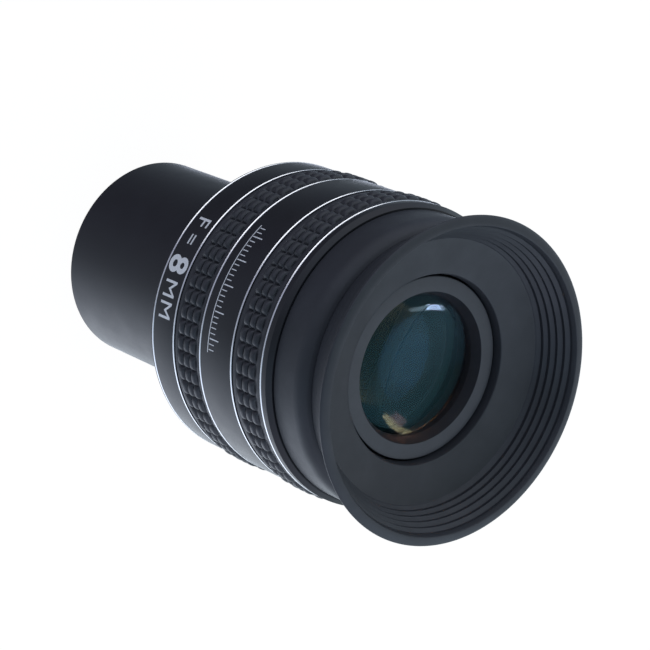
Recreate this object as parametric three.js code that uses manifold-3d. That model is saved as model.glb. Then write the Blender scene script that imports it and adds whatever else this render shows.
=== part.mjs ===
// Telescope eyepiece, 8 mm class, with a 1.25-inch nosepiece and a twist-up rubber eye guard.
//
// Frame: millimetres, +Z up the optical axis from the telescope side to the eye side.
// Origin: centre of the open end of the nosepiece barrel. The piece stands on that end.
// Every height in the script (a name ending in _Z, or z in a profile) is measured from
// the shoulder, the underside of the outer body. The helpers add SHOULDER to it.
//
// Make-up, from the bottom and outside in:
//   nosepiece barrel screwed into the bottom wall of the outer body, with a negative
//     doublet in its own cell, a retaining ring and a baffle inside it;
//   outer body with two rubber grip rings in recesses and three grub screws under the
//     lower grip, which lock the helix guide tube to the body;
//   helix guide tube with three helical slots, and the upper lens cell inside it with
//     field stop, collector lens, spacer, cemented doublet, spacer, eye lens and retainer;
//   twist sleeve with three guide pins that run in the slots, a friction ring in its bore
//     and the rubber eyecup on its outside. Turning the sleeve raises the eyecup.

import * as THREE from "three";
import { mergeVertices } from "three/addons/utils/BufferGeometryUtils.js";
import Module from "manifold-3d";

const wasm = await Module();
wasm.setup();

// ---------------------------------------------------------------- driving dimensions
const BARREL_R = 15.875; // 1.25-inch nosepiece, 31.75 mm across
const BARREL_BORE_R = 14.4;
const BARREL_LENGTH = 33.2; // open end to shoulder
const BARREL_BEVEL = 0.3;
const INSERT_R = BARREL_BORE_R - 0.2; // lens cell and baffle inside the barrel
const BARREL_LENS_R = 11.1;

const BODY_R = 22.8; // smooth bands of the outer body
const BODY_BEVEL = 0.25;
const BODY_TOP_Z = 29.12;
const BODY_TOP_R = 22.2;
const BODY_BORE_R = 21.0;
const BODY_WALL_TOP_Z = 6.9; // top of the bottom wall inside the body
const GRIP_R = 22.95; // outside of the rubber grip rings
const GRIP_FLOOR_R = 21.9; // floor of the recess under a grip
const LOWER_GRIP_Z = [6.08, 12.17];
const UPPER_GRIP_Z = [20.43, 26.9];

const TUBE_IN_R = 17.2; // helix guide tube
const TUBE_OUT_R = 19.0;
const TUBE_TOP_Z = 32.6;
const FLANGE_R = 20.8; // flange at the foot of the tube
const FLANGE_BORE_R = 13.8;
const FLANGE_TOP_Z = 10.0;
const SEAT_Z = 7.0; // bottom of the tube flange and of the upper lens cell

const CELL_R = 13.58; // upper lens cell and eye lens retainer
const CELL_BORE_R = 12.1;
const CELL_FIT_R = CELL_BORE_R - 0.12; // spacers and retainer inside that bore
const LENS_R = 11.9;
const RETAINER_TOP_Z = 35.1;
const RETAINER_OPENING_R = 10.5;
const RETAINER_BEVEL = 0.2;

const SLEEVE_IN_R = 19.2; // twist sleeve
const SLEEVE_OUT_R = 20.6;
const COLLAR_R = 21.9; // straight part of the rubber eyecup
const NECK_R = 20.95; // its waist under the flare
const RIM_R = 24.11; // its rim
const RIM_Z = 42.81;

const LIFT = 8.0; // travel of the guard
const TWIST_DEG = 105; // turn of the guard over that travel
const PIN_R = 1.0; // guide pins
const PIN_REST_Z = 13.5; // height of the pins with the guard lowered
const SLOT_HALF_WIDTH = PIN_R + 0.17;
const GRUB_Z = 8.5;
const threeRound = (firstDeg) => [0, 120, 240].map((step) => firstDeg + step);
const PIN_AZIMUTH_DEG = threeRound(30);
const GRUB_AZIMUTH_DEG = threeRound(90);

const SEG = 40; // facets round the outer and turning parts
const SEG_CELL = 36; // round the upper lens cell
const SEG_IN = 24; // round the parts inside the cell and barrel

const SHOULDER = BARREL_LENGTH;
const DEG = Math.PI / 180;

// ---------------------------------------------------------------- finishes
const ANODISED = { color: 0x1d2024, roughness: 0.42, metalness: 0.55 };
const BARREL_BLACK = { color: 0x1b1d21, roughness: 0.38, metalness: 0.55 };
const RUBBER = { color: 0x2e3238, roughness: 0.82, metalness: 0.0 };
const GRIP_RUBBER = { color: 0x212429, roughness: 0.72, metalness: 0.0 };
const RETAINER_BLACK = { color: 0x3a3e44, roughness: 0.62, metalness: 0.3 };
const INNER_BLACK = { color: 0x141517, roughness: 0.75, metalness: 0.2 };
const BARE_ALUMINIUM = { color: 0x9a9da1, roughness: 0.4, metalness: 0.9 };
const BRASS = { color: 0xb08d4a, roughness: 0.35, metalness: 0.95 };
const STEEL = { color: 0x50545a, roughness: 0.35, metalness: 0.95 };
const GLASS = { color: 0x24484c, roughness: 0.05, metalness: 0.0 };

// ---------------------------------------------------------------- helpers
const root = new THREE.Group();
const guard = new THREE.Group(); // the parts that turn and rise together
root.add(guard);

function add(group, name, geometry, finish) {
  geometry.computeVertexNormals();
  const mesh = new THREE.Mesh(geometry, new THREE.MeshStandardMaterial(finish));
  mesh.name = name;
  group.add(mesh);
}

// Joins the seams of an indexed geometry and drops its collapsed triangles.
function cleaned(geometry) {
  const loose = geometry.toNonIndexed();
  loose.deleteAttribute("normal");
  loose.deleteAttribute("uv");
  const merged = mergeVertices(loose, 1e-3);
  const corners = merged.index.array;
  const kept = [];
  for (let i = 0; i < corners.length; i += 3) {
    const [a, b, c] = corners.slice(i, i + 3);
    if (a !== b && b !== c && a !== c) kept.push(a, b, c);
  }
  merged.setIndex(kept);
  return merged;
}

// Flips every triangle if the closed surface is inside out.
function facingOut(geometry) {
  const position = geometry.getAttribute("position");
  const corners = geometry.index.array;
  const vertex = (i) => new THREE.Vector3().fromBufferAttribute(position, corners[i]);
  let sixVolumes = 0;
  for (let i = 0; i < corners.length; i += 3)
    sixVolumes += vertex(i).dot(vertex(i + 1).cross(vertex(i + 2)));
  if (sixVolumes < 0)
    for (let i = 0; i < corners.length; i += 3)
      [corners[i + 1], corners[i + 2]] = [corners[i + 2], corners[i + 1]];
  return geometry;
}

// A ring or disc turned about Z from a profile of [radius, z].
// A profile that touches the axis at both ends is a disc, any other closes on itself.
function turned(profile, segments = SEG) {
  const points = profile.map(([radius, z]) => new THREE.Vector2(radius, z + SHOULDER));
  const isDisc = profile[0][0] === 0 && profile.at(-1)[0] === 0;
  if (!isDisc) points.push(points[0].clone());
  const geometry = new THREE.LatheGeometry(points, segments);
  geometry.rotateX(Math.PI / 2);
  return facingOut(cleaned(geometry));
}

// A ring of rectangular section.
const plainRing = (innerR, outerR, z0, z1) =>
  turned([[innerR, z0], [outerR, z0], [outerR, z1], [innerR, z1]], SEG_IN);

// A cylinder lying along the radius at an azimuth, between two distances from the axis.
function radialCylinder({ radius, from, to, azimuth, z, sides = 12 }) {
  const geometry = new THREE.CylinderGeometry(radius, radius, to - from, sides);
  geometry.rotateZ(-Math.PI / 2); // axis along +X
  geometry.translate((from + to) / 2, 0, z + SHOULDER);
  geometry.rotateZ(azimuth * DEG);
  return geometry;
}

function solid(geometry) {
  const clean = cleaned(geometry);
  return new wasm.Manifold(
    new wasm.Mesh({
      numProp: 3,
      vertProperties: new Float32Array(clean.getAttribute("position").array),
      triVerts: new Uint32Array(clean.index.array),
    }),
  );
}

// The blank with every cutter taken out of it.
function cut(blank, cutters) {
  const result = cutters.reduce((left, cutter) => left.subtract(solid(cutter)), solid(blank));
  const mesh = result.getMesh();
  const geometry = new THREE.BufferGeometry();
  const positions = new Float32Array(mesh.vertProperties);
  geometry.setAttribute("position", new THREE.BufferAttribute(positions, 3));
  geometry.setIndex(new THREE.BufferAttribute(new Uint32Array(mesh.triVerts), 1));
  return geometry;
}

// Profile of a spherical lens face from the axis to the edge. A positive curve radius
// bends down towards the edge, a negative one up.
function face(apexZ, curveR, edgeR, steps = 3) {
  const sphereR = Math.abs(curveR);
  const points = [];
  for (let i = 0; i <= steps; i++) {
    const radius = (edgeR * i) / steps;
    const sag = sphereR - Math.sqrt(sphereR * sphereR - radius * radius);
    points.push([radius, apexZ - Math.sign(curveR) * sag]);
  }
  return points;
}

const addLens = (name, bottom, top) =>
  add(root, name, turned([...bottom, ...top.reverse()], SEG_IN), GLASS);

// ---------------------------------------------------------------- nosepiece barrel
const THREAD_R = 15.0; // neck of the barrel inside the body

add(
  root,
  "nosepiece_barrel",
  turned([
    [BARREL_BORE_R, -BARREL_LENGTH],
    [BARREL_R - BARREL_BEVEL, -BARREL_LENGTH],
    [BARREL_R, -BARREL_LENGTH + BARREL_BEVEL],
    [BARREL_R, 1.8],
    [THREAD_R, 1.8],
    [THREAD_R, 6.6],
    [13.4, 6.6],
    [13.4, 0.2],
    [BARREL_BORE_R, -0.8],
  ]),
  BARREL_BLACK,
);

// Negative doublet and its cell near the telescope end.
const barrelCellProfile = [
  [12.4, -26.0], [INSERT_R, -26.0], [INSERT_R, -13.0], [9.4, -13.0],
  [9.4, -14.6], [11.3, -14.6], [11.3, -24.4], [12.4, -24.4],
];
add(root, "barrel_lens_cell", turned(barrelCellProfile, SEG_IN), INNER_BLACK);
addLens(
  "barrel_negative_lens",
  face(-22.5, 35, BARREL_LENS_R),
  face(-20.0, -46, BARREL_LENS_R),
);
addLens(
  "barrel_meniscus_lens",
  face(-19.92, -46, BARREL_LENS_R),
  face(-16.1, -45, BARREL_LENS_R),
);

// Retaining ring with two spanner notches in its lower face.
const RETAINING_RING_Z = [-25.9, -24.5];
const NOTCH = { length: 3.4, width: 1.4, height: 1.2, centreR: 10.6 };
function spannerNotch(side) {
  const box = new THREE.BoxGeometry(NOTCH.length, NOTCH.width, NOTCH.height);
  box.translate(side * NOTCH.centreR, 0, SHOULDER + RETAINING_RING_Z[0]);
  return box;
}
add(
  root,
  "barrel_retaining_ring",
  cut(plainRing(9.7, 12.2, ...RETAINING_RING_Z), [-1, 1].map(spannerNotch)),
  INNER_BLACK,
);

const baffleProfile = [
  [13.3, -12.9], [INSERT_R, -12.9], [INSERT_R, -5.0],
  [8.2, -5.0], [8.2, -5.8], [13.3, -5.8],
];
add(root, "barrel_baffle_ring", turned(baffleProfile, SEG_IN), INNER_BLACK);

// ---------------------------------------------------------------- outer body
const grubCylinders = (radius, from, to) =>
  GRUB_AZIMUTH_DEG.map((azimuth) => radialCylinder({ radius, from, to, azimuth, z: GRUB_Z }));

// Recess for a grip ring in the outside of the body.
const gripRecess = ([z0, z1]) => [
  [BODY_R, z0],
  [GRIP_FLOOR_R, z0],
  [GRIP_FLOOR_R, z1],
  [BODY_R, z1],
];
const bodyBlank = turned([
  [16.0, 0],
  [BODY_R - BODY_BEVEL, 0],
  [BODY_R, BODY_BEVEL],
  ...gripRecess(LOWER_GRIP_Z),
  ...gripRecess(UPPER_GRIP_Z),
  [BODY_R, 27.45],
  [BODY_TOP_R, BODY_TOP_Z],
  [BODY_BORE_R, BODY_TOP_Z],
  [BODY_BORE_R, BODY_WALL_TOP_Z],
  [THREAD_R + 0.1, BODY_WALL_TOP_Z],
  [THREAD_R + 0.1, 2.0],
  [16.0, 2.0],
]);
add(root, "outer_body", cut(bodyBlank, grubCylinders(1.25, 19, 23.5)), ANODISED);

function gripRing([z0, z1]) {
  const innerR = GRIP_FLOOR_R + 0.07;
  const endGap = 0.06; // to the ends of the recess
  const bevelR = GRIP_R - 0.35;
  const bevelZ = 0.45; // from the ends of the recess
  return turned([
    [innerR, z0 + endGap],
    [bevelR, z0 + endGap],
    [GRIP_R, z0 + bevelZ],
    [GRIP_R, z1 - bevelZ],
    [bevelR, z1 - endGap],
    [innerR, z1 - endGap],
  ]);
}
add(root, "lower_grip_ring", gripRing(LOWER_GRIP_Z), GRIP_RUBBER);
add(root, "upper_grip_ring", gripRing(UPPER_GRIP_Z), GRIP_RUBBER);

// ---------------------------------------------------------------- helix guide tube
const SLOT_END_ANGLES_DEG = [0, 25, 50, 70, 90]; // stations round each slot end
const SLOT_TIP_HALF_WIDTH = 0.25; // least half width, at the very tips
const SLOT_STEPS = 14; // along the straight run
const SLOT_OVERCUT = 0.8; // beyond the tube wall on both sides

// A slot cutter: a bar bent along the helix, with a four-cornered section at each
// station. Its half width narrows at both ends so that they are round like the pin.
function slotBar(azimuthDeg) {
  const middleR = (TUBE_IN_R + TUBE_OUT_R) / 2;
  const arc = TWIST_DEG * DEG * middleR;
  const length = Math.hypot(arc, LIFT);
  const alongArc = arc / length;
  const alongZ = LIFT / length;

  // Rounded end stations, [distance out from the end centre, half width], tip first.
  const endStations = SLOT_END_ANGLES_DEG.map((angle) => [
    SLOT_HALF_WIDTH * Math.cos(angle * DEG),
    Math.max(SLOT_TIP_HALF_WIDTH, SLOT_HALF_WIDTH * Math.sin(angle * DEG)),
  ]);
  // All stations from the low end to the high end, [distance along slot, half width].
  const stations = endStations.map(([out, half]) => [-out, half]);
  for (let i = 1; i < SLOT_STEPS; i++)
    stations.push([(length * i) / SLOT_STEPS, SLOT_HALF_WIDTH]);
  for (const [out, half] of endStations.reverse()) stations.push([length + out, half]);

  const innerR = TUBE_IN_R - SLOT_OVERCUT;
  const outerR = TUBE_OUT_R + SLOT_OVERCUT;
  // Section corners: [radius, lower edge -1 or upper edge 1].
  const section = [[innerR, -1], [outerR, -1], [outerR, 1], [innerR, 1]];
  const positions = [];
  for (const [distance, half] of stations)
    for (const [radius, side] of section) {
      const arcPlace = distance * alongArc - side * half * alongZ;
      const z = distance * alongZ + side * half * alongArc + PIN_REST_Z + SHOULDER;
      const angle = azimuthDeg * DEG + arcPlace / middleR;
      positions.push(radius * Math.cos(angle), radius * Math.sin(angle), z);
    }

  const index = [];
  const quad = (a, b, c, d) => index.push(a, b, c, a, c, d);
  const last = 4 * (stations.length - 1);
  quad(0, 1, 2, 3);
  quad(last + 3, last + 2, last + 1, last);
  for (let i = 0; i < last; i += 4)
    for (let k = 0; k < 4; k++) {
      const here = i + k;
      const next = i + ((k + 1) % 4);
      quad(here, here + 4, next + 4, next);
    }
  const geometry = new THREE.BufferGeometry();
  geometry.setAttribute("position", new THREE.Float32BufferAttribute(positions, 3));
  geometry.setIndex(index);
  return facingOut(geometry);
}

const tubeBlank = turned([
  [FLANGE_BORE_R, SEAT_Z],
  [FLANGE_R, SEAT_Z],
  [FLANGE_R, FLANGE_TOP_Z],
  [TUBE_OUT_R, FLANGE_TOP_Z],
  [TUBE_OUT_R, TUBE_TOP_Z],
  [TUBE_IN_R, TUBE_TOP_Z],
  [TUBE_IN_R, FLANGE_TOP_Z],
  [FLANGE_BORE_R, FLANGE_TOP_Z],
]);
const tubeCutters = [...PIN_AZIMUTH_DEG.map(slotBar), ...grubCylinders(1.2, 18.6, 21.5)];
add(root, "helix_guide_tube", cut(tubeBlank, tubeCutters), BARE_ALUMINIUM);

// Grub screws, each with a hexagonal socket in its outer end.
GRUB_AZIMUTH_DEG.forEach((azimuth, i) => {
  const place = { azimuth, z: GRUB_Z };
  const shank = radialCylinder({ ...place, radius: 1.0, from: 18.75, to: 21.7 });
  const socket = radialCylinder({ ...place, radius: 0.5, from: 20.8, to: 22.5, sides: 6 });
  add(root, `grub_screw_${i + 1}`, cut(shank, [socket]), STEEL);
});

// ---------------------------------------------------------------- upper lens cell
// Tube with a low outer collar and an inner ledge under the collector lens.
const upperCellProfile = [
  [CELL_BORE_R, SEAT_Z], [CELL_R, SEAT_Z], [CELL_R, 10.1], [14.6, 10.1],
  [14.6, 11.3], [CELL_R, 11.3], [CELL_R, 33.0], [CELL_BORE_R, 33.0],
  [CELL_BORE_R, 11.6], [10.4, 11.6], [10.4, 10.4], [CELL_BORE_R, 10.4],
];
add(root, "upper_lens_cell", turned(upperCellProfile, SEG_CELL), INNER_BLACK);

const fieldStopProfile = [
  [7.0, 7.9], [8.4, 7.3], [12.0, 7.3], [12.0, 8.6], [8.4, 8.6], [7.0, 8.1],
];
add(root, "field_stop_ring", turned(fieldStopProfile, SEG_IN), INNER_BLACK);

const addSpacer = (name, z0, z1) =>
  add(root, name, plainRing(10.9, CELL_FIT_R, z0, z1), INNER_BLACK);

addLens("collector_lens", [[0, 11.7], [LENS_R, 11.7]], face(16.0, 40, LENS_R));
addSpacer("front_spacer_ring", 14.6, 17.0);
addLens("doublet_flint_lens", face(17.8, 110, LENS_R), face(19.42, -18, LENS_R, 4));
addLens("doublet_crown_lens", face(19.5, -18, LENS_R, 4), face(28.2, 24, LENS_R, 4));
addSpacer("rear_spacer_ring", 25.7, 29.5);
addLens("eye_lens", face(28.7, -60, LENS_R), face(34.39, 30, LENS_R, 4));
add(
  root,
  "eye_lens_retainer",
  turned([
    [RETAINER_OPENING_R, 32.65],
    [CELL_FIT_R, 32.1],
    [CELL_FIT_R, 33.1],
    [CELL_R, 33.1],
    [CELL_R, RETAINER_TOP_Z - RETAINER_BEVEL],
    [CELL_R - RETAINER_BEVEL, RETAINER_TOP_Z],
    [11.35, RETAINER_TOP_Z],
    [RETAINER_OPENING_R, 34.25],
  ]),
  RETAINER_BLACK,
);

// ---------------------------------------------------------------- twist-up eye guard
const pinCylinder = (radius, from, to, azimuth) =>
  radialCylinder({ radius, from, to, azimuth, z: PIN_REST_Z });

// Sleeve with an inward lip at the top and a groove in its bore for the friction ring.
const sleeveBlank = turned([
  [SLEEVE_IN_R, 11.5], [SLEEVE_OUT_R, 11.5], [SLEEVE_OUT_R, 34.5], [14.4, 34.5],
  [14.4, 33.1], [SLEEVE_IN_R, 33.1], [SLEEVE_IN_R, 24.2], [20.0, 24.2],
  [20.0, 23.0], [SLEEVE_IN_R, 23.0],
]);
const pinHoles = PIN_AZIMUTH_DEG.map((a) => pinCylinder(PIN_R + 0.12, 18.5, 21.5, a));
add(guard, "twist_sleeve", cut(sleeveBlank, pinHoles), ANODISED);

PIN_AZIMUTH_DEG.forEach((azimuth, i) => {
  const pin = pinCylinder(PIN_R, TUBE_IN_R + 0.2, SLEEVE_OUT_R - 0.2, azimuth);
  add(guard, `guide_pin_${i + 1}`, cleaned(pin), BRASS);
});

// O-ring between sleeve and guide tube. It rises with the sleeve without turning, so it
// is not in the guard group.
const frictionProfile = [
  [19.1, 23.35], [19.3, 23.1], [19.65, 23.1], [19.85, 23.35],
  [19.85, 23.8], [19.65, 24.05], [19.3, 24.05], [19.1, 23.8],
];
add(root, "friction_ring", turned(frictionProfile), GRIP_RUBBER);

const eyecupProfile = [
  // collar and waist
  [20.75, 29.3], [COLLAR_R - 0.1, 29.3], [COLLAR_R, 29.5], [COLLAR_R, 32.6],
  [21.55, 34.6], [NECK_R, 35.9],
  // outside of the flare
  [21.15, 37.3], [21.95, 39.2], [23.1, 41.3], [24.0, 42.4],
  // rounded rim
  [RIM_R, RIM_Z], [23.7, 43.1], [22.95, 43.15], [22.5, 43.0], [22.3, 42.35],
  // inside of the flare, with five fold ribs
  [22.35, 41.99], [21.75, 41.55], [21.83, 41.0], [21.2, 40.52], [21.3, 40.0],
  [20.7, 39.55], [20.75, 39.0], [20.25, 38.56], [20.25, 37.98], [19.78, 37.5],
  // shallow dished floor round the eye lens retainer, and its underside
  [17.0, 36.9], [14.1, 36.2], [14.1, 34.6], [20.75, 34.6],
];
add(guard, "rubber_eyecup", turned(eyecupProfile), RUBBER);

export default root;
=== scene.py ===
"""A short eyepiece: a ringed black body with two rubber grips, a narrower barrel below it and a
flared rubber eyecup on top.

The optical axis is Z, with the eyecup towards +Z and the open end of the barrel towards -Z. The
markings face -Y. Outlines are (radius, height) in mm, with heights measured from the shoulder,
the underside of the body. Blender's own units are metres.
"""
import math

import bmesh
import bpy
import numpy as np
from mathutils import Matrix, Vector


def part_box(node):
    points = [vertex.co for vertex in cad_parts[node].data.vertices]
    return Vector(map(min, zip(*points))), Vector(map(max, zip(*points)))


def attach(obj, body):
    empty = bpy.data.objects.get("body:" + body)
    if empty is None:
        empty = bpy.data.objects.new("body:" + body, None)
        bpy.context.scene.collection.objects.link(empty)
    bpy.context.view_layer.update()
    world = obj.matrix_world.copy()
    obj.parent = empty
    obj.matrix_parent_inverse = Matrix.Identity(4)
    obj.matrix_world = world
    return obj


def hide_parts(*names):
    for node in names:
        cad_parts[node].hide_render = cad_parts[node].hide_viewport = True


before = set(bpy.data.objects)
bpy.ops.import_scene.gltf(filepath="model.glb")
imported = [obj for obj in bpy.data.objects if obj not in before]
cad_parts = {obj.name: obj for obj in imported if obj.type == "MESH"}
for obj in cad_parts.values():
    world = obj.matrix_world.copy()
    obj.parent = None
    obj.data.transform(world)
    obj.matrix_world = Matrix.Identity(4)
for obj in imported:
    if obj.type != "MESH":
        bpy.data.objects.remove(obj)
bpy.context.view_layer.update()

MM = 0.001
scene = bpy.context.scene

# ---------------------------------------------------------------- driving sizes, mm
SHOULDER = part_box("outer_body")[0][2] * 1000


def radius_of(node):
    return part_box(node)[1][0] * 1000


def heights_of(node):
    """Bottom and top of a CAD piece above the shoulder."""
    low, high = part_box(node)
    return low[2] * 1000 - SHOULDER, high[2] * 1000 - SHOULDER


BODY_R = radius_of("outer_body")
BARREL_R = radius_of("nosepiece_barrel")
RIM_R = radius_of("rubber_eyecup")
RETAINER_R = radius_of("eye_lens_retainer")
SLEEVE_R = radius_of("twist_sleeve")
BODY_TOP = heights_of("outer_body")[1]
BARREL_END = heights_of("nosepiece_barrel")[0]
CUP_BASE, CUP_TOP = heights_of("rubber_eyecup")
RETAINER_TOP = heights_of("eye_lens_retainer")[1]
LENS_TOP = heights_of("eye_lens")[1]
LOWER_GRIP = heights_of("lower_grip_ring")
UPPER_GRIP = heights_of("upper_grip_ring")

LINES = (0.52, 5.83, 12.54, 20.18, 27.29)  # heights of the bright turned lines round the body
LINE_HALF = 0.17  # half the width of a line

LENS_R = 11.9  # lenses in the upper cell
BARREL_LENS_R = 11.1
SPACER_R = 11.98  # rings that drop into the upper cell
CELL_BORE_R = 12.1
CELL_R = 13.58
INSERT_R = 14.2  # cell and baffle inside the barrel
BORE_R = 14.4  # inside of the barrel


# ---------------------------------------------------------------- mesh helpers
def rounded(corners, steps=5):
    """A closed outline of (r, z) or (r, z, radius): each corner with a radius becomes an arc."""
    outline = []
    for i, corner in enumerate(corners):
        here = np.array(corner[:2], float)
        if len(corner) < 3:
            outline.append(corner)
            continue
        back = np.array(corners[i - 1][:2], float) - here
        ahead = np.array(corners[(i + 1) % len(corners)][:2], float) - here
        back_len, ahead_len = np.linalg.norm(back), np.linalg.norm(ahead)
        back, ahead = back / back_len, ahead / ahead_len
        half = math.acos(float(np.clip(back @ ahead, -1, 1))) / 2
        if abs(math.pi / 2 - half) < 0.02:  # almost straight
            outline.append(corner[:2])
            continue
        reach = min(corner[2] / math.tan(half), 0.48 * back_len, 0.48 * ahead_len)
        radius = reach * math.tan(half)
        middle = (back + ahead) / np.linalg.norm(back + ahead)
        centre = here + middle * (radius / math.sin(half))
        start, end = here + back * reach - centre, here + ahead * reach - centre
        first, last = math.atan2(start[1], start[0]), math.atan2(end[1], end[0])
        sweep = (last - first + math.pi) % (2 * math.pi) - math.pi
        for k in range(steps + 1):
            angle = first + sweep * k / steps
            outline.append(
                (centre[0] + radius * math.cos(angle), centre[1] + radius * math.sin(angle))
            )
    return outline


def spline(points, per):
    """Catmull-Rom through open (r, z) points, with per steps in each span."""
    knots = [np.array(p, float) for p in points]
    knots = [2 * knots[0] - knots[1]] + knots + [2 * knots[-1] - knots[-2]]
    curve = []
    for i in range(1, len(knots) - 2):
        before, start, end, after = knots[i - 1 : i + 3]
        for k in range(per):
            t = k / per
            point = 0.5 * (
                (2 * start)
                + (end - before) * t
                + (2 * before - 5 * start + 4 * end - after) * t * t
                + (3 * start - before - 3 * end + after) * t**3
            )
            curve.append((float(point[0]), float(point[1])))
    curve.append((float(knots[-2][0]), float(knots[-2][1])))
    return curve


def new_object(name, bm):
    """Turn bm into a linked object and free it."""
    mesh = bpy.data.meshes.new(name)
    bm.to_mesh(mesh)
    bm.free()
    ob = bpy.data.objects.new(name, mesh)
    scene.collection.objects.link(ob)
    return ob


def shade(mesh, sharp_deg):
    mesh.polygons.foreach_set("use_smooth", [True] * len(mesh.polygons))
    mesh.set_sharp_from_angle(angle=math.radians(sharp_deg))
    mesh.update()


def finish_mesh(name, bm, sharp_deg):
    """An object from a closed bm, with its normals outward and smooth below sharp_deg."""
    bmesh.ops.recalc_face_normals(bm, faces=bm.faces)
    if bm.calc_volume(signed=True) < 0:
        bmesh.ops.reverse_faces(bm, faces=bm.faces)
    ob = new_object(name, bm)
    shade(ob.data, sharp_deg)
    return ob


def turned(name, outline, segments, relief=None, sharp_deg=38):
    """A closed solid of revolution about Z.

    An outline whose first and last points lie on the axis makes a disc. relief(angles, outline
    index, r, z) may return radii that vary round the turn.
    """
    bm = bmesh.new()
    on_axis = 1e-9
    disc = outline[0][0] < on_axis and outline[-1][0] < on_axis
    angles = np.linspace(0, 2 * math.pi, segments, endpoint=False)
    cos, sin = np.cos(angles), np.sin(angles)
    rings = []
    for i, (r, z) in enumerate(outline):
        height = (z + SHOULDER) * MM
        if r < on_axis:
            rings.append([bm.verts.new((0, 0, height))])
            continue
        radii = relief(angles, i, r, z) if relief else np.full(segments, r)
        rings.append(
            [
                bm.verts.new((radii[k] * cos[k] * MM, radii[k] * sin[k] * MM, height))
                for k in range(segments)
            ]
        )
    pairs = list(zip(rings, rings[1:]))
    if not disc:
        pairs.append((rings[-1], rings[0]))
    for a, b in pairs:
        for k in range(segments):
            j = (k + 1) % segments
            if len(a) == 1:
                bm.faces.new((a[0], b[k], b[j]))
            elif len(b) == 1:
                bm.faces.new((a[k], b[0], a[j]))
            else:
                bm.faces.new((a[k], b[k], b[j], a[j]))
    return finish_mesh(name, bm, sharp_deg)


# ---------------------------------------------------------------- material helpers
class Shader:
    """The emptied node tree of a material or the world, with short ways to add nodes."""

    def __init__(self, owner, output="OutputMaterial", coord="Object"):
        self.owner = owner
        owner.use_nodes = True
        self.tree = owner.node_tree
        self.tree.nodes.clear()
        self.out = self.add(output)
        self.coord = self.add("TexCoord").outputs[coord]

    def put(self, socket, source):
        """Link source to the socket, or store it there if it is a plain value."""
        if isinstance(source, bpy.types.NodeSocket):
            self.tree.links.new(source, socket)
        else:
            socket.default_value = source

    def add(self, kind, setup=None, **inputs):
        """A new node: setup holds its properties, inputs its sockets with _ for spaces."""
        node = self.tree.nodes.new("ShaderNode" + kind)
        for key, setting in (setup or {}).items():
            setattr(node, key, setting)
        for key, source in inputs.items():
            self.put(node.inputs[key.replace("_", " ")], source)
        return node

    def closure(self, kind, **inputs):
        return self.add(kind, **inputs).outputs[0]

    def mix(self, share, first, second):
        """first and second shaders, with the given share of second."""
        node = self.add("MixShader")
        for socket, source in zip(node.inputs, (share, first, second)):
            self.put(socket, source)
        return node.outputs[0]

    def surface(self, closure):
        self.put(self.out.inputs["Surface"], closure)

    def math(self, operation, *values, clamp=False):
        node = self.add("Math", {"operation": operation, "use_clamp": clamp})
        for socket, source in zip(node.inputs, values):
            self.put(socket, source)
        return node.outputs[0]

    def vector(self, operation, *vectors, output="Vector", **inputs):
        node = self.add("VectorMath", {"operation": operation}, **inputs)
        for socket, source in zip(node.inputs, vectors):
            self.put(socket, source)
        return node.outputs[output]

    def noise(self, scale, detail=3.0, rough=0.55, along=None):
        """3D noise, or 1D noise along the given value."""
        common = {"Scale": scale, "Detail": detail, "Roughness": rough}
        if along is None:
            node = self.add("TexNoise", {"noise_dimensions": "3D"}, Vector=self.coord, **common)
        else:
            node = self.add("TexNoise", {"noise_dimensions": "1D"}, W=along, **common)
        return node.outputs["Fac"]

    def ramp(self, factor, stops):
        node = self.add("ValToRGB", Fac=factor)
        elements = node.color_ramp.elements
        while len(elements) < len(stops):
            elements.new(0.5)
        for element, (position, colour) in zip(elements, stops):
            element.position = position
            element.color = (*colour, 1.0)
        return node.outputs["Color"]

    def remap(self, value, over, to, smooth=False):
        """Map the range over to the range to."""
        node = self.add(
            "MapRange",
            {"interpolation_type": "SMOOTHSTEP" if smooth else "LINEAR"},
            Value=value, From_Min=over[0], From_Max=over[1], To_Min=to[0], To_Max=to[1],
        )
        return node.outputs["Result"]

    def bump(self, height, strength, distance, **normal):
        node = self.add("Bump", Strength=strength, Distance=distance, Height=height, **normal)
        return node.outputs["Normal"]

    def axis(self, name):
        return self.add("SeparateXYZ", Vector=self.coord).outputs[name]


def new_shader(name):
    return Shader(bpy.data.materials.new(name))


def tint(colour, factor):
    return tuple(min(1.0, c * factor) for c in colour)


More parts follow.
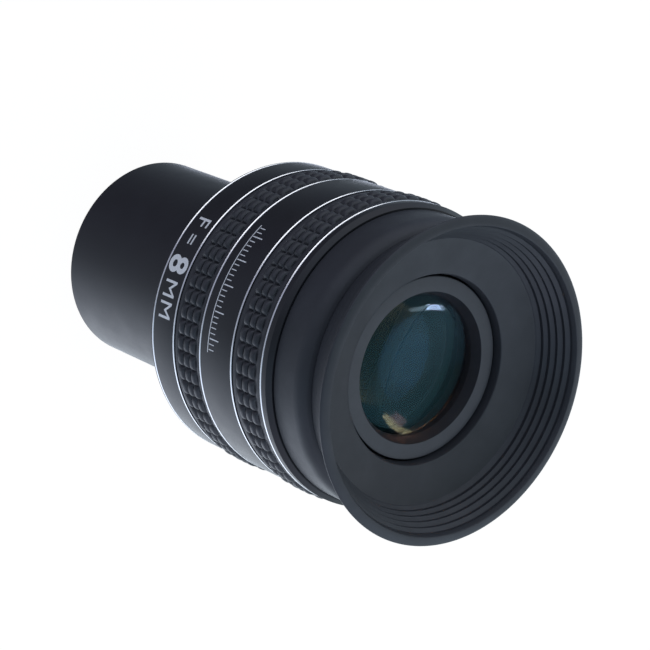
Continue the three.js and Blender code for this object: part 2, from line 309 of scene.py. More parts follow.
def anodised(name, base, rough, grain=0.06, spec=0.5):
    """Dyed anodised aluminium: fine turning marks, a little dust and slightly uneven dye."""
    m = new_shader(name)
    cloud = m.noise(scale=260, detail=4.0, rough=0.6)
    fine = m.noise(scale=5200, detail=2.0, rough=0.5)
    dye = m.ramp(cloud, [(0.3, tint(base, 1 - 0.14)), (0.7, tint(base, 1 + 0.14))])
    marks = m.noise(scale=9000, detail=2.0, rough=0.6, along=m.axis("Z"))
    specks = m.noise(scale=1500, detail=3.0, rough=0.7)
    dust = m.remap(specks, over=(0.66, 0.8), to=(0.0, 1.0))
    dusty = m.add("Mix", {"data_type": "RGBA"})
    m.put(dusty.inputs[0], m.math("MULTIPLY", dust, 0.25))
    m.put(dusty.inputs[6], dye)
    m.put(dusty.inputs[7], (*tint(base, 1.9), 1))
    roughness = m.math(
        "ADD",
        m.remap(cloud, over=(0.25, 0.75), to=(rough - 0.035, rough + 0.045)),
        m.remap(fine, over=(0.3, 0.7), to=(-0.015, 0.015)),
    )
    turning = m.bump(marks, strength=0.15, distance=0.000012)
    normal = m.bump(fine, strength=grain, distance=0.00002, Normal=turning)
    m.surface(m.closure(
        "BsdfPrincipled", Base_Color=dusty.outputs[2], Metallic=0.0, Roughness=roughness,
        IOR=1.5, Specular_IOR_Level=spec, Normal=normal,
    ))
    return m.owner


def rubber(name, base, rough, grain, spec):
    """Moulded rubber: fine grain, uneven roughness and a pale bloom in places."""
    m = new_shader(name)
    bloom = 0.12
    grain_scale = 7000
    cloud = m.noise(scale=190, detail=5.0, rough=0.62)
    fine = m.noise(scale=grain_scale, detail=3.0, rough=0.6)
    coarse = m.noise(scale=grain_scale / 6, detail=3.0, rough=0.55)
    colour = m.ramp(
        cloud, [(0.28, tint(base, 1 - bloom)), (0.52, base), (0.75, tint(base, 1 + bloom * 1.5))]
    )
    roughness = m.math(
        "ADD",
        m.remap(cloud, over=(0.25, 0.75), to=(rough + 0.05, rough - 0.07)),
        m.remap(fine, over=(0.3, 0.7), to=(-0.03, 0.03)),
    )
    waves = m.bump(coarse, strength=grain * 0.35, distance=0.00005)
    normal = m.bump(fine, strength=grain, distance=0.00003, Normal=waves)
    m.surface(m.closure(
        "BsdfPrincipled", Base_Color=colour, Roughness=roughness, Specular_IOR_Level=spec,
        Normal=normal,
    ))
    return m.owner


def bright_metal(name, base, rough):
    """Bare metal with fine circular tool marks."""
    m = new_shader(name)
    marks = m.noise(scale=26000, detail=2.0, rough=0.6, along=m.axis("Z"))
    cloud = m.noise(scale=900, detail=3.0, rough=0.6)
    colour = m.ramp(cloud, [(0.3, tint(base, 0.93)), (0.7, tint(base, 1.04))])
    m.surface(m.closure(
        "BsdfPrincipled", Base_Color=colour, Metallic=1.0,
        Roughness=m.remap(cloud, over=(0.25, 0.75), to=(rough - 0.05, rough + 0.07)),
        Normal=m.bump(marks, strength=0.25, distance=0.00001),
    ))
    return m.owner


def ink(name, base, rough):
    """Printed ink: slightly uneven cover with soft gloss."""
    m = new_shader(name)
    fine = m.noise(scale=3600, detail=4.0, rough=0.65)
    cloud = m.noise(scale=700, detail=3.0, rough=0.6)
    m.surface(m.closure(
        "BsdfPrincipled",
        Base_Color=m.ramp(fine, [(0.25, tint(base, 0.86)), (0.6, base)]),
        Roughness=m.remap(cloud, over=(0.25, 0.75), to=(rough - 0.06, rough + 0.08)),
        Normal=m.bump(fine, strength=0.2, distance=0.00002),
    ))
    return m.owner


def coated_glass(name, coat, head_on, zones=()):
    """Clear glass under a weak coloured mirror that turns white towards grazing angles.

    head_on is the mirror's share seen straight on. zones holds discs (x, y, radius in mm, part):
    the mirror is scaled by the sum of the parts of the discs a point lies in.
    """
    m = new_shader(name)
    facing = m.add("LayerWeight", Blend=0.5).outputs["Facing"]
    grazing = m.math("POWER", facing, 5.0)
    smear = m.noise(scale=420, detail=4.0, rough=0.6)
    mirror = m.closure(
        "BsdfGlossy",
        Roughness=m.remap(smear, over=(0.45, 0.8), to=(0.0, 0.02)),
        Color=m.ramp(facing, [(0.0, coat), (0.55, coat), (1.0, (0.9, 0.92, 0.95))]),
    )
    clear = m.closure("BsdfRefraction", IOR=1.52, Roughness=0.0, Color=(0.985, 0.99, 0.985, 1))
    share = m.math("ADD", m.math("MULTIPLY", grazing, 1 - head_on), head_on, clamp=True)
    if zones:
        level = 0.0
        for x, y, radius, part in zones:
            dx = m.math("SUBTRACT", m.axis("X"), x * MM)
            dy = m.math("SUBTRACT", m.axis("Y"), y * MM)
            squares = m.math("ADD", m.math("MULTIPLY", dx, dx), m.math("MULTIPLY", dy, dy))
            edge = ((radius - 0.25) * MM, (radius + 0.25) * MM)
            disc = m.remap(m.math("SQRT", squares), over=edge, to=(part, 0.0), smooth=True)
            level = m.math("ADD", disc, level)
        share = m.math("MULTIPLY", share, level)
    m.surface(m.mix(share, clear, mirror))
    return m.owner


def coating(name, tone, sharp, veil):
    """A clear film with a sharp and a broad coloured reflection on its outer face.

    sharp and veil are the shares of the two reflections. The normal is drawn towards the axis,
    so the film reflects as if it were flatter than it is.
    """
    m = new_shader(name)
    smear = m.noise(scale=420, detail=4.0, rough=0.6)
    geometry = m.add("NewGeometry").outputs
    flatter = m.vector("MULTIPLY", geometry["Normal"], (0.65, 0.65, 1.0))
    normal = m.vector("NORMALIZE", flatter)
    mirror = m.closure(
        "BsdfGlossy", Roughness=m.remap(smear, over=(0.45, 0.8), to=(0.01, 0.03)),
        Color=(*tone, 1), Normal=normal,
    )
    veil_rough = 0.5
    veil_range = (veil_rough - 0.03, veil_rough + 0.03)
    broad = m.closure(
        "BsdfGlossy", Roughness=m.remap(smear, over=(0.3, 0.7), to=veil_range),
        Color=(*tone, 1), Normal=normal,
    )
    through = m.closure("BsdfTransparent")
    film = m.mix(sharp, m.mix(veil, through, broad), mirror)
    back = m.add("NewGeometry").outputs["Backfacing"]
    m.surface(m.mix(back, film, through))
    return m.owner


# ---------------------------------------------------------------- materials
BODY_BLACK = anodised("body_anodised", base=(0.009, 0.010, 0.0125), rough=0.36)
BARREL_BLACK = anodised("barrel_anodised", base=(0.011, 0.012, 0.015), rough=0.4)
LINE_METAL = bright_metal("turned_line", base=(0.93, 0.95, 0.98), rough=0.3)
GRIP_RUBBER = rubber("grip_rubber", base=(0.026, 0.028, 0.033), rough=0.42, grain=0.2, spec=0.6)
CUP_RUBBER = rubber("cup_rubber", base=(0.026, 0.029, 0.034), rough=0.5, grain=0.3, spec=0.55)
RETAINER_MATTE = anodised("retainer_matte", base=(0.053, 0.057, 0.063), rough=0.45, grain=0.2)
# painted shade: a darker copy of the retainer's finish for its bevel and bore, standing in for the
# shade and dark reflection that fall there
RETAINER_BEVEL_PAINTED_SHADE = anodised("retainer_bevel_painted_shade", base=(0.020, 0.022, 0.026), rough=0.5, spec=0.25)
INNER_BLACK = anodised("inner_black", base=(0.010, 0.010, 0.012), rough=0.65)
INK = ink("printed_ink", base=(0.92, 0.92, 0.90), rough=0.45)
TUBE_METAL = bright_metal("guide_tube_metal", base=(0.62, 0.63, 0.65), rough=0.35)
STEEL = bright_metal("screw_steel", base=(0.16, 0.16, 0.17), rough=0.35)
BRASS = bright_metal("pin_brass", base=(0.70, 0.52, 0.24), rough=0.3)
FILM = coating("coating_film", tone=(0.34, 0.90, 0.98), sharp=0.010, veil=0.018)
COAT_CLEAR = coated_glass("coating_clear", coat=(0.80, 0.90, 1.00), head_on=0.001)
COAT_TEAL = coated_glass("coating_teal", coat=(0.45, 0.90, 1.00), head_on=0.014)
COAT_GREEN = coated_glass("coating_green", coat=(0.20, 1.00, 0.85), head_on=0.006)
COAT_BLUE = coated_glass(
    "coating_blue", coat=(0.26, 0.56, 1.00), head_on=0.027,
    zones=((-0.5, 3.0, 5.7, 0.6), (-0.4, 2.6, 3.8, 0.4)),
)
COAT_AMBER = coated_glass("coating_amber", coat=(1.00, 0.72, 0.35), head_on=0.004)
LENS_EDGE = anodised("lens_edge_black", base=(0.006, 0.006, 0.007), rough=0.8, spec=0.1)


def dress(ob, material, node=None, body="root"):
    """Give ob its material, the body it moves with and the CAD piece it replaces."""
    ob.data.materials.clear()
    ob.data.materials.append(material)
    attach(ob, body)
    if node:
        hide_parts(node)
    return ob


# ---------------------------------------------------------------- outer body
def body_recess(low, high, depth, *edge):
    """Outline points of a square recess in the body wall, its mouth rounded by edge."""
    floor_r = BODY_R - depth
    return [(BODY_R, low, *edge), (floor_r, low), (floor_r, high), (BODY_R, high, *edge)]


def line_recess(z):
    return body_recess(z - LINE_HALF - 0.005, z + LINE_HALF + 0.005, 0.14, 0.02)


def grip_recess(grip):
    return body_recess(grip[0] - 0.045, grip[1] + 0.045, 0.9, 0.04)


def body_outline():
    return rounded(
        [(16.0, 0, 0.12), (BODY_R - 0.22, 0, 0.1), (BODY_R, 0.2, 0.06)]
        + line_recess(LINES[0])
        + line_recess(LINES[1])
        + grip_recess(LOWER_GRIP)
        + line_recess(LINES[2])
        + line_recess(LINES[3])
        + grip_recess(UPPER_GRIP)
        + line_recess(LINES[4])
        + [
            (BODY_R, BODY_TOP - 0.62, 0.08), (BODY_R - 0.66, BODY_TOP, 0.06),
            (21.0, BODY_TOP, 0.06), (21.0, 6.9), (15.1, 6.9), (15.1, 2.0), (16.0, 2.0),
        ]
    )


dress(turned("outer_body_shell", body_outline(), 320), BODY_BLACK, "outer_body")


def turned_line(name, z):
    """A bright bead that fills one line recess and stands just proud of the body."""
    inner, outer = BODY_R - 0.13, BODY_R + 0.005
    low, high = z - LINE_HALF, z + LINE_HALF
    bead = rounded([(inner, low), (outer, low, 0.1), (outer, high, 0.1), (inner, high)], 4)
    return dress(turned(name, bead, 320), LINE_METAL)


turned_lines = [turned_line(f"turned_line_{i + 1}", z) for i, z in enumerate(LINES)]

# ---------------------------------------------------------------- barrel
THREAD_TURNS = 8
THREAD_PITCH = 0.6


def barrel_outline():
    """The barrel wall, with a thread cut inside its open end."""
    thread = []
    crest, root = BORE_R - 0.28, BORE_R + 0.06
    z = BARREL_END + 0.9
    for _ in range(THREAD_TURNS):
        thread += [(crest, z), (crest, z + 0.08), (root, z + 0.32), (root, z + 0.36)]
        z += THREAD_PITCH
    return rounded(
        [(13.4, 0.2, 0.2), (BORE_R, -0.8, 0.2), (BORE_R, z + 0.2, 0.05)]
        + thread[::-1]
        + [
            (BORE_R, BARREL_END + 0.6, 0.05), (BORE_R + 0.35, BARREL_END, 0.06),
            (BARREL_R - 0.32, BARREL_END, 0.1), (BARREL_R, BARREL_END + 0.32, 0.12),
            (BARREL_R, 1.8), (15.0, 1.8), (15.0, 6.6), (13.4, 6.6),
        ]
    )


dress(turned("barrel_tube", barrel_outline(), 288), BARREL_BLACK, "nosepiece_barrel")

# ---------------------------------------------------------------- rubber grips
PADS = 60  # pillow-shaped pads round each row
PAD_ROWS = 3
ROW_PITCH = 1.45
PAD_PITCH = 2 * math.pi * BODY_R / PADS
PAD_CROWN_R = BODY_R + 0.33
PAD_GROOVE_R = BODY_R - 0.3  # floor of the grooves between pads


def grip_ring(name, grip, centre, phase_deg, node):
    """A band of pads about the height centre, with the first groove at phase_deg."""
    low, high = grip[0] - 0.03, grip[1] + 0.03
    pads_low, pads_high = centre - 1.5 * ROW_PITCH, centre + 1.5 * ROW_PITCH
    inner = BODY_R - 0.83
    flat = BODY_R - 0.1  # plain edges beside the pads
    steps = np.linspace(0, 1, 21)[:-1]
    crowded = steps - 0.055 * np.sin(2 * math.pi * steps)  # closer together in the grooves
    stations = []
    for row in range(PAD_ROWS):
        stations += list(pads_low + ROW_PITCH * (row + crowded))
    stations.append(pads_high)
    outline = [
        (inner, low), (flat - 0.08, low), (flat - 0.02, low + 0.03), (flat, low + 0.09),
        (flat, pads_low - 0.22), (flat - 0.05, pads_low - 0.12),
    ]
    first = len(outline)
    outline += [(PAD_GROOVE_R, z) for z in stations]
    last = len(outline)
    outline += [
        (flat - 0.05, pads_high + 0.12), (flat, pads_high + 0.22),
        (flat, high - 0.09), (flat - 0.02, high - 0.03), (flat - 0.08, high), (inner, high),
    ]

    def pad_relief(angles, i, r, z):
        if not first <= i < last:
            return np.full(len(angles), r)
        # across and along run from 0 at a pad's middle to 1 at its edge
        turn = (np.degrees(angles) - phase_deg) * PADS / 360.0
        offset = np.abs(turn - np.floor(turn) - 0.5)
        across = np.clip(offset * PAD_PITCH / (PAD_PITCH / 2 - 0.07), 0, 1)
        row = (z - pads_low) / ROW_PITCH
        offset = abs(row - math.floor(min(row, PAD_ROWS - 1e-6)) - 0.5)
        along = min(1.0, offset * ROW_PITCH / (ROW_PITCH / 2 - 0.05))
        dome = (1 - across**3.0) ** 0.62 * (1 - along**2.6) ** 0.62
        return PAD_GROOVE_R + (PAD_CROWN_R - PAD_GROOVE_R) * dome

    ob = turned(name, outline, PADS * 16, pad_relief, sharp_deg=75)
    dress(ob, GRIP_RUBBER, node)


grip_ring("lower_grip_pads", LOWER_GRIP, centre=9.2, phase_deg=-91.5, node="lower_grip_ring")
grip_ring("upper_grip_pads", UPPER_GRIP, centre=23.65, phase_deg=-92.3, node="upper_grip_ring")


# ---------------------------------------------------------------- rubber eyecup
def cup_outline():
    """Up the outside from the collar, over the lip, then down the stepped inside."""
    base = CUP_BASE - 0.1
    collar = rounded([(20.75, base), (21.9, base, 0.1), (21.9, 33.6)])[:-1]
    shoulder = spline(
        [(21.9, 33.3), (21.87, 33.9), (21.72, 34.5), (21.4, 35.05), (20.95, 35.5), (20.5, 35.78)],
        5,
    )
    crease = [(20.3, 35.87), (20.08, 35.97), (20.32, 36.07)]
    flare = spline(
        [
            (20.52, 36.2), (20.7, 36.7), (20.95, 37.4), (21.4, 38.3), (21.95, 39.25),
            (22.8, 40.75), (23.55, 41.8), (RIM_R - 0.1, 42.38),
        ],
        7,
    )
    lip = [
        (RIM_R - 0.03, 42.5), (RIM_R, 42.62), (RIM_R - 0.04, 42.73), (RIM_R - 0.16, 42.83),
        (RIM_R - 0.4, 42.94), (RIM_R - 0.7, 43.04), (RIM_R - 1.0, 43.11),
    ]
    steps = rounded(
        [
            (23.0, 43.12), (22.66, CUP_TOP, 0.16),
            (22.36, 42.42, 0.1), (22.36, 41.99, 0.16),
            (21.76, 41.56, 0.1), (21.83, 41.0, 0.15),
            (21.2, 40.53, 0.1), (21.29, 40.0, 0.15),
            (20.7, 39.55, 0.1), (20.76, 39.0, 0.15),
            (20.22, 38.56, 0.1), (20.25, 38.02, 0.15),
            (19.74, 37.62, 0.1), (19.62, 37.46, 0.1), (18.6, 37.25),
        ],
        4,
    )[:-1]
    floor = spline([(18.6, 37.25), (17.0, 36.87), (15.6, 36.54), (14.3, 36.25)], 5)
    mouth = [
        (14.19, 36.21), (14.13, 36.13), (14.08, 35.98), (13.86, 34.95), (13.86, 34.6),
        (20.75, 34.6),
    ]
    return collar + shoulder + crease + flare + lip + steps + floor + mouth


cup = turned("eyecup_rubber", cup_outline(), 320, sharp_deg=50)
dress(cup, CUP_RUBBER, "rubber_eyecup", body="guard")

# ---------------------------------------------------------------- twist sleeve
SLEEVE = [
    (19.2, 11.5), (SLEEVE_R, 11.5, 0.1), (SLEEVE_R, 34.5), (14.4, 34.5, 0.1), (14.4, 33.1),
    (19.2, 33.1), (19.2, 24.2), (20.0, 24.2), (20.0, 23.0), (19.2, 23.0),
]
sleeve = turned("twist_sleeve_shell", rounded(SLEEVE), 256)
dress(sleeve, BODY_BLACK, "twist_sleeve", body="guard")

# ---------------------------------------------------------------- eye lens retainer
RETAINER = [
    (10.5, 32.65), (SPACER_R, 32.1), (SPACER_R, 33.1), (RETAINER_R, 33.1),
    (RETAINER_R, RETAINER_TOP, 0.16), (11.3, RETAINER_TOP, 0.08), (10.5, 33.6, 0.08),
]
BEVEL_R = 11.28
retainer = turned("lens_retainer_ring", rounded(RETAINER), 288)
dress(retainer, RETAINER_MATTE, "eye_lens_retainer")
retainer.data.materials.append(RETAINER_BEVEL_PAINTED_SHADE)
# painted shade: the bevel and the bore take the darker copy of the finish
for polygon in retainer.data.polygons:  # the bevel and the bore are darker than the top face
    if math.hypot(polygon.center.x, polygon.center.y) < BEVEL_R * MM:
        polygon.material_index = 1


# ---------------------------------------------------------------- lenses
def face(apex, sphere_r, edge_r=LENS_R):
    """A spherical face from the axis outwards: a positive sphere_r bulges towards +Z."""
    size = abs(sphere_r)
    steps = 22
    points = []
    for i in range(steps + 1):
        r = edge_r * i / steps
        points.append((r, apex - math.copysign(size - math.sqrt(size * size - r * r), sphere_r)))
    return points


def disc(name, bottom, top):
    return turned(name, bottom + top[::-1], 192, sharp_deg=30)


def lens(name, node, bottom, top, below, above):
    """A lens with its own coating on each face and a blackened edge."""
    ob = dress(disc(name, bottom, top), above, node)
    ob.data.materials.append(below)
    ob.data.materials.append(LENS_EDGE)
    for polygon in ob.data.polygons:
        if abs(polygon.normal.z) < 0.05:
            polygon.material_index = 2
        else:
            polygon.material_index = 0 if polygon.normal.z > 0 else 1
    return ob


eye_glass = lens(
    "eye_lens_glass", "eye_lens", face(28.7, -60), face(LENS_TOP, 30),
    below=COAT_TEAL, above=COAT_CLEAR,
)
FILM_R = 10.55
film = disc(
    "eye_lens_coating", face(LENS_TOP + 0.008, 30, FILM_R), face(LENS_TOP + 0.02, 30, FILM_R)
)
dress(film, FILM)
lens(
    "crown_lens_glass", "doublet_crown_lens", face(19.5, -18), face(28.2, 24),
    below=COAT_AMBER, above=COAT_BLUE,
)
lens(
    "flint_lens_glass", "doublet_flint_lens", face(17.8, 110), face(19.42, -18),
    below=COAT_BLUE, above=COAT_AMBER,
)
lens(
    "collector_lens_glass", "collector_lens", [(0, 11.7), (LENS_R, 11.7)], face(16.0, 40),
    below=COAT_GREEN, above=COAT_BLUE,
)
lens(
    "barrel_negative_glass", "barrel_negative_lens",
    face(-22.5, 35, BARREL_LENS_R), face(-20.0, -46, BARREL_LENS_R),
    below=COAT_GREEN, above=COAT_AMBER,
)
lens(
    "barrel_meniscus_glass", "barrel_meniscus_lens",
    face(-19.92, -46, BARREL_LENS_R), face(-16.1, -45, BARREL_LENS_R),
    below=COAT_AMBER, above=COAT_GREEN,
)

# ---------------------------------------------------------------- cells, rings and baffles
# name, CAD piece it replaces, corners (r, z, optional rounding)
INNER_RINGS = (
    ("lens_cell_shell", "upper_lens_cell", [
        (CELL_BORE_R, 7.0), (CELL_R, 7.0, 0.15), (CELL_R, 10.1), (14.6, 10.1, 0.1),
        (14.6, 11.3, 0.1), (CELL_R, 11.3), (CELL_R, 33.0, 0.1), (CELL_BORE_R, 33.0),
        (CELL_BORE_R, 11.6), (10.4, 11.6), (10.4, 10.4), (CELL_BORE_R, 10.4),
    ]),
    ("rear_spacer", "rear_spacer_ring", [
        (10.9, 25.7, 0.1), (SPACER_R, 25.7), (SPACER_R, 29.5), (10.9, 29.5, 0.1),
    ]),
    ("front_spacer", "front_spacer_ring", [
        (10.9, 14.6, 0.1), (SPACER_R, 14.6), (SPACER_R, 17.0), (10.9, 17.0, 0.1),
    ]),
    ("field_stop", "field_stop_ring", [
        (7.0, 7.9), (8.4, 7.3), (12.0, 7.3), (12.0, 8.6), (8.4, 8.6), (7.0, 8.1),
    ]),
    ("barrel_cell_shell", "barrel_lens_cell", [
        (12.4, -26.0, 0.15), (INSERT_R, -26.0, 0.15), (INSERT_R, -13.0), (9.4, -13.0),
        (9.4, -14.6), (11.3, -14.6), (11.3, -24.4), (12.4, -24.4),
    ]),
    ("barrel_baffle", "barrel_baffle_ring", [
        (13.3, -12.9), (INSERT_R, -12.9), (INSERT_R, -5.0), (8.2, -5.0), (8.2, -5.8),
        (13.3, -5.8),
    ]),
)
for name, node, corners in INNER_RINGS:
    dress(turned(name, rounded(corners), 192), INNER_BLACK, node)


# ---------------------------------------------------------------- notched ring in the barrel
def brick(low, high):
    """A box between two corners in mm, with z measured from the origin."""
    bm = bmesh.new()
    bmesh.ops.create_cube(bm, size=1.0)
    for v in bm.verts:
        v.co = Vector(
            ((low[i] + high[i]) / 2 + v.co[i] * (high[i] - low[i])) * MM for i in range(3)
        )
    return new_object("cutter", bm)


def cut(target, cutters):
    """Take each cutter out of target and remove the cutter."""
    for cutter in cutters:
        modifier = target.modifiers.new("cut", "BOOLEAN")
        modifier.operation = "DIFFERENCE"
        modifier.solver = "EXACT"
        modifier.object = cutter
        depsgraph = bpy.context.evaluated_depsgraph_get()
        depsgraph.update()
        mesh = bpy.data.meshes.new_from_object(target.evaluated_get(depsgraph))
        target.modifiers.clear()
        old = target.data
        target.data = mesh
        bpy.data.meshes.remove(old)
        bpy.data.objects.remove(cutter)
    shade(target.data, 35)


def notch(side):
    middle = side * 10.6
    return brick(
        (middle - 1.7, -0.7, SHOULDER - 26.5), (middle + 1.7, 0.7, SHOULDER - 25.3)
    )


NOTCHED_RING = [(9.7, -25.9, 0.25), (12.2, -25.9, 0.1), (12.2, -24.5), (9.7, -24.5)]
notched_ring = turned("barrel_retainer", rounded(NOTCHED_RING), 192)
cut(notched_ring, [notch(side) for side in (-1, 1)])
dress(notched_ring, INNER_BLACK, "barrel_retaining_ring")

# ---------------------------------------------------------------- CAD pieces kept as they are
KEPT = {"helix_guide_tube": TUBE_METAL, "friction_ring": GRIP_RUBBER}
KEPT.update({f"grub_screw_{i}": STEEL for i in (1, 2, 3)})
KEPT.update({f"guide_pin_{i}": BRASS for i in (1, 2, 3)})
for name, material in KEPT.items():
    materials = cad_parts[name].data.materials
    materials.clear()
    materials.append(material)


# ---------------------------------------------------------------- printed markings
def wrap(name, bm, centre_deg, centre_z):
    """Bend flat faces in mm (x round the turn, y along +Z) into a thin closed plate on the body."""
    rise, sink = 0.03, 0.06  # above and below the body's surface
    longest = 0.35  # edges are split until about this short
    bmesh.ops.remove_doubles(bm, verts=bm.verts, dist=1e-4)
    bmesh.ops.triangulate(bm, faces=bm.faces)
    for _ in range(6):
        long_edges = [e for e in bm.edges if e.calc_length() > longest]
        if not long_edges:
            break
        bmesh.ops.subdivide_edges(bm, edges=long_edges, cuts=1)
        bmesh.ops.triangulate(bm, faces=bm.faces)
    faces = list(bm.faces)
    for f in faces:
        if f.normal.z < 0:
            f.normal_flip()
    made = bmesh.ops.extrude_face_region(bm, geom=faces)
    top = {v for v in made["geom"] if isinstance(v, bmesh.types.BMVert)}
    for v in bm.verts:
        r = BODY_R + (rise if v in top else -sink)
        angle = math.radians(centre_deg) + v.co.x / BODY_R
        height = centre_z + SHOULDER + v.co.y
        v.co = Vector((r * math.cos(angle), r * math.sin(angle), height)) * MM
    dress(finish_mesh(name, bm, 30), INK)


def glyph(text, height, bold, squeeze):
    """Flat faces of a text in the built-in font, centred and height mm tall."""
    curve = bpy.data.curves.new("glyph", "FONT")
    curve.body = text
    curve.align_x = "CENTER"
    curve.align_y = "CENTER"
    curve.resolution_u = 6
    curve.offset = bold
    ob = bpy.data.objects.new("glyph", curve)
    scene.collection.objects.link(ob)
    bpy.context.view_layer.update()
    depsgraph = bpy.context.evaluated_depsgraph_get()
    mesh = bpy.data.meshes.new_from_object(ob.evaluated_get(depsgraph))
    bpy.data.objects.remove(ob)
    bm = bmesh.new()
    bm.from_mesh(mesh)
    bpy.data.meshes.remove(mesh)
    bmesh.ops.remove_doubles(bm, verts=bm.verts, dist=1e-5)
    xs = [v.co.x for v in bm.verts]
    ys = [v.co.y for v in bm.verts]
    scale = height / (max(ys) - min(ys))
    mid_x, mid_y = (max(xs) + min(xs)) / 2, (max(ys) + min(ys)) / 2
    for v in bm.verts:
        v.co = Vector(((v.co.x - mid_x) * scale * squeeze, (v.co.y - mid_y) * scale, 0))
    return bm


# text, angle round the body in degrees, height in mm, thickening, width factor
MARKINGS = (
    ("F", -109.6, 2.75, 0.0, 1.0),
    ("=", -102.0, 1.05, 0.0, 1.0),
    ("8", -91.6, 4.35, 0.022, 0.98),
    ("M", -82.15, 2.75, 0.0, 0.97),
    ("M", -74.0, 2.75, 0.0, 0.97),
)
for i, (text, centre_deg, height, bold, squeeze) in enumerate(MARKINGS):
    letter = glyph(text, height, bold, squeeze)
    wrap(f"marking_{i + 1}", letter, centre_deg, (LINES[0] + LINES[1]) / 2)

# A plain graduated scale: ticks above a base line, every fifth one from the middle longer
SCALE_DEG = -91.2
SCALE_Z = (LINES[2] + LINES[3]) / 2
TICK_PITCH = 0.81
TICK_FOOT = -1.6


def scale_ticks():
    bm = bmesh.new()
    for i in range(-12, 13):
        length, width = (2.1, 0.17) if i % 5 == 0 else (1.15, 0.13)
        x = i * TICK_PITCH
        x0, x1 = x - width / 2, x + width / 2
        y0, y1 = TICK_FOOT, TICK_FOOT + length
        corners = ((x0, y0, 0), (x1, y0, 0), (x1, y1, 0), (x0, y1, 0))
        bm.faces.new([bm.verts.new(p) for p in corners])
    return bm


def scale_line():
    bm = bmesh.new()
    half_width = 0.15 / 2
    rows = [
        (bm.verts.new((x, half_width, 0)), bm.verts.new((x, -half_width, 0)))
        for x in np.linspace(-12.6 * TICK_PITCH, 12.6 * TICK_PITCH, 60)
    ]
    for (a, b), (c, d) in zip(rows, rows[1:]):
        bm.faces.new((a, b, d, c))
    return bm


wrap("scale_ticks", scale_ticks(), SCALE_DEG, SCALE_Z)
wrap("scale_line", scale_line(), SCALE_DEG, SCALE_Z - 1.85)


# ---------------------------------------------------------------- floor
def pale_floor():
    """A glowing white, clear when seen from below."""
    m = new_shader("pale_floor")
    greys = [(0.3, (0.07, 0.07, 0.07)), (0.7, (0.08, 0.08, 0.08))]
    diffuse = m.closure(
        "BsdfDiffuse", Color=m.ramp(m.noise(scale=30, detail=3.0, rough=0.5), greys)
    )
    both = m.add("AddShader")
    m.put(both.inputs[0], diffuse)
    m.put(both.inputs[1], m.closure("Emission", Strength=0.97))
    clear = m.closure("BsdfTransparent")
    back = m.add("NewGeometry").outputs["Backfacing"]
    m.surface(m.mix(back, both.outputs[0], clear))
    return m.owner


bm = bmesh.new()
bmesh.ops.create_grid(bm, x_segments=2, y_segments=2, size=3.0)
floor = new_object("floor", bm)
floor.location = (0, 0, BARREL_END * MM + SHOULDER * MM - 0.0001)
floor.visible_glossy = False
floor.visible_diffuse = False
floor.visible_transmission = False
floor.visible_shadow = False
floor.data.materials.append(pale_floor())

# ---------------------------------------------------------------- world
# Broad soft patches of light, split by a soft horizon square to UP.
UP = (-0.867, -0.4976, 0.0287)
HORIZON = (-0.14, -0.02)  # where the horizon fades, as a cosine to UP
TIGHTNESS = 6.0  # higher makes each patch smaller
# direction, side of the horizon (1 towards UP, -1 away from it), colour
PATCHES = (
    ((-0.50, 0.87, 0.00), 1, (0.88, 1.05, 1.16)),
    ((-0.33, 0.62, 0.71), -1, (0.65, 0.64, 0.68)),
    ((0.02, 0.01, 1.00), 1, (0.20, 0.29, 0.24)),
    ((0.37, -0.60, 0.71), -1, (0.25, 0.46, 0.62)),
    ((0.50, -0.87, 0.00), -1, (0.32, 0.41, 0.51)),
    ((0.33, -0.62, -0.71), 1, (0.30, 0.33, 0.39)),
    ((-0.37, 0.60, -0.71), -1, (2.10, 2.26, 2.81)),
    ((-0.37, 0.60, -0.71), 1, (0.18, 0.21, 0.24)),
    ((-0.97, 0.26, 0.02), 1, (0.03, 0.07, 0.19)),
    ((-0.85, 0.09, 0.52), 1, (0.60, 0.57, 0.60)),
    ((0.38, 0.79, 0.48), -1, (0.40, 0.51, 0.60)),
    ((-0.60, -0.34, 0.73), 1, (0.14, 0.25, 0.34)),
    ((0.63, 0.36, 0.69), -1, (0.79, 0.92, 1.14)),
    ((-0.35, -0.78, 0.52), 1, (0.20, 0.14, 0.23)),
    ((0.87, -0.07, 0.48), -1, (0.14, 0.05, 0.09)),
    ((-0.26, -0.97, 0.02), 1, (0.28, 0.36, 0.43)),
    ((-0.38, -0.79, -0.48), 1, (0.06, 0.03, 0.09)),
    ((0.85, -0.09, -0.52), -1, (0.91, 1.06, 1.29)),
    ((0.60, 0.34, -0.73), -1, (0.84, 0.84, 0.94)),
    ((0.35, 0.78, -0.52), -1, (0.32, 0.45, 0.39)),
    ((-0.87, -0.50, 0.03), 1, (0.39, 0.40, 0.43)),
)


def build_world():
    """The patches light the scene, while the camera itself sees plain white."""
    scene.world = bpy.data.worlds.new("studio")
    sky = Shader(scene.world, output="OutputWorld", coord="Generated")

    def cosine_to(direction):
        unit = tuple(Vector(direction).normalized())
        return sky.vector("DOT_PRODUCT", sky.coord, unit, output="Value")

    above = sky.remap(cosine_to(UP), over=HORIZON, to=(0.0, 1.0), smooth=True)
    below = sky.math("SUBTRACT", 1.0, above)
    total = None
    for direction, side, colour in PATCHES:
        away = sky.math("SUBTRACT", cosine_to(direction), 1.0)
        glow = sky.math("EXPONENT", sky.math("MULTIPLY", away, TIGHTNESS))
        glow = sky.math("MULTIPLY", glow, above if side > 0 else below)
        patch = sky.vector("SCALE", colour, Scale=glow)
        total = patch if total is None else sky.vector("ADD", total, patch)
    lit = sky.closure("Background", Color=total)
    white = sky.closure("Background", Color=(1, 1, 1, 1))
    sky.surface(sky.mix(sky.add("LightPath").outputs["Is Camera Ray"], lit, white))


build_world()

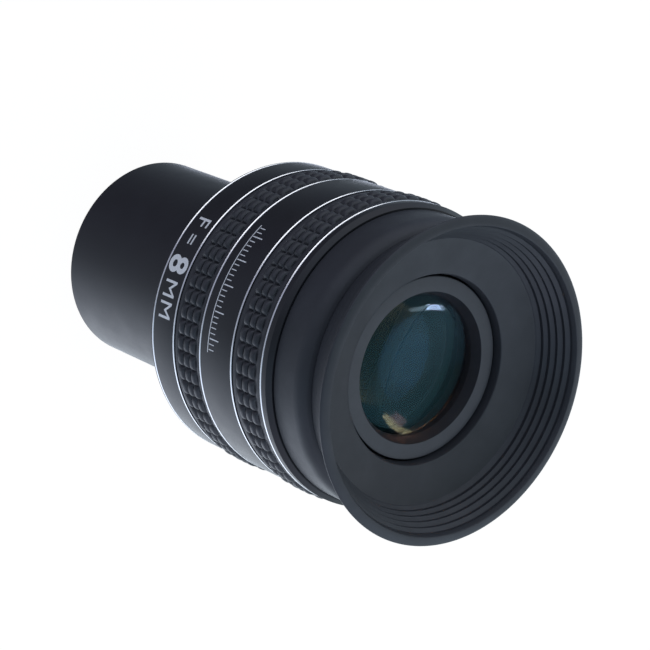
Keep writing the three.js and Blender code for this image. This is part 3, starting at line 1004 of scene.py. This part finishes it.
# ---------------------------------------------------------------- softboxes
# Each one lights only its receivers, and only the floor could block it.
SOFTBOX_DISTANCE = 0.55  # metres from the lit spot
FILM_SPOT = (-9.6, 0.7, 66.0)  # the lit spots, mm from the origin
INNER_SPOT = (8.0, 4.0, 63.0)
BODY_SPOT = (-15.0, -17.0, 47.0)
# name, spot, direction from spot to light, direction of its first side,
# size in metres, radiance, receivers
SOFTBOXES = (
    ("front_glint", FILM_SPOT, (-0.302, 0.683, 0.664), (-0.009, 0.109, -0.115),
     (0.105, 0.016), (78.0, 39.0, 55.0), [film]),
    ("front_glint_tail", FILM_SPOT, (-0.28, 0.58, 0.76), (-0.03, 0.10, -0.09),
     (0.10, 0.016), (18.0, 10.0, 11.0), [film]),
    ("inner_glint", INNER_SPOT, (-0.79, 0.33, 0.51), (0.12, 0.48, -0.04),
     (0.36, 0.12), (60.0, 26.0, 12.0), [eye_glass]),
    ("inner_glint_rose", INNER_SPOT, (-0.65, 0.39, 0.65), (0.12, 0.48, -0.04),
     (0.14, 0.10), (9.0, 2.6, 2.6), [eye_glass]),
    ("line_light", BODY_SPOT, (-0.57, -0.17, -0.80), (-0.25, 0.80, 0.0),
     (0.62, 0.24), (1.6, 1.62, 1.66), turned_lines),
)


def link_group(name, members):
    group = bpy.data.collections.new(name)
    for member in members:
        group.objects.link(member)
    return group


def softbox(name, spot, toward, along, size, radiance, receivers):
    light = bpy.data.lights.new(name, "AREA")
    light.shape = "RECTANGLE"
    light.size, light.size_y = size
    peak = max(radiance)
    light.energy = peak * math.pi * size[0] * size[1]
    light.color = [c / peak for c in radiance]
    ob = bpy.data.objects.new(name, light)
    scene.collection.objects.link(ob)
    toward = Vector(toward).normalized()
    side = Vector(along)
    side = (side - toward * side.dot(toward)).normalized()
    turn = Matrix((side, toward.cross(side), toward)).transposed().to_4x4()
    ob.matrix_world = Matrix.Translation(Vector(spot) * MM + toward * SOFTBOX_DISTANCE) @ turn
    ob.visible_camera = False
    ob.light_linking.receiver_collection = link_group(name + "_receivers", receivers)
    ob.light_linking.blocker_collection = link_group(name + "_blockers", [floor])


for row in SOFTBOXES:
    softbox(*row)

# ---------------------------------------------------------------- camera
CAMERA_PLACE = (-0.000516, -0.25420, 0.33477)  # metres
CAMERA_AHEAD = (0.0, 0.6600, -0.7512)
CAMERA_RIGHT = (-0.3787, 0.6952, 0.6109)

lens_data = bpy.data.cameras.new("camera")
lens_data.sensor_width = 36.0
lens_data.lens = 142.991446
lens_data.clip_start, lens_data.clip_end = 0.01, 20.0
camera = bpy.data.objects.new("camera", lens_data)
scene.collection.objects.link(camera)
ahead = Vector(CAMERA_AHEAD).normalized()
right = Vector(CAMERA_RIGHT)
right = (right - ahead * right.dot(ahead)).normalized()
down = ahead.cross(right)
turn = Matrix((right, -down, -ahead)).transposed().to_4x4()
camera.matrix_world = Matrix.Translation(Vector(CAMERA_PLACE)) @ turn
scene.camera = camera
scene.view_settings.view_transform = "Standard"
scene.view_settings.look = "None"
